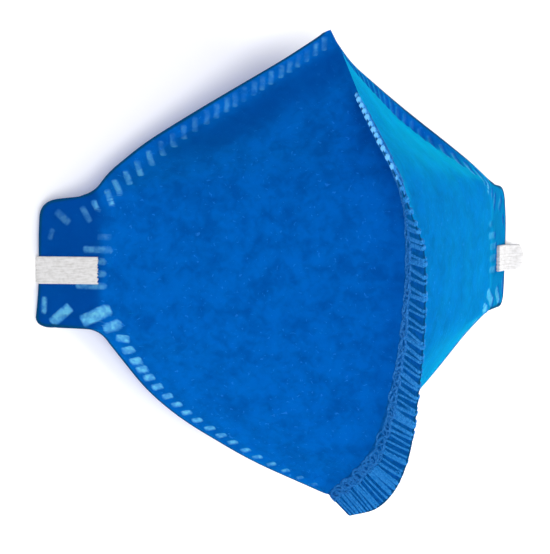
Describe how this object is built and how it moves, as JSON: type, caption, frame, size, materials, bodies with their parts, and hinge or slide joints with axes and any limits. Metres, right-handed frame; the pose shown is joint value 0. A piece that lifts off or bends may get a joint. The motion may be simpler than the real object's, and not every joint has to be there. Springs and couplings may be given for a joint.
{
  "type": "folding respirator mask",
  "caption": "Vertically folding cloth respirator mask with an overlocked front seam, two side tabs and a flat head elastic, half opened as it stands on its tabs.",
  "frame": {"origin": "on the surface that the mask stands on, under the middle of its panels and front seam", "axes": "+X to the wearer's left tab, +Y to the nose end, +Z out of the face towards the front seam"},
  "size_m": [0.178, 0.1433, 0.0807],
  "materials": {
    "nonwoven": "matt blue nonwoven with pressed weld dashes along its edges",
    "overlock": "blue overlock thread over pressed nonwoven",
    "elastic": "matt off-white woven elastic"
  },
  "bodies": {
    "root": {"left_panel": "nonwoven", "right_panel": "nonwoven", "front_seam_allowance": "overlock", "head_elastic": "elastic"}
  },
  "joints": []
}
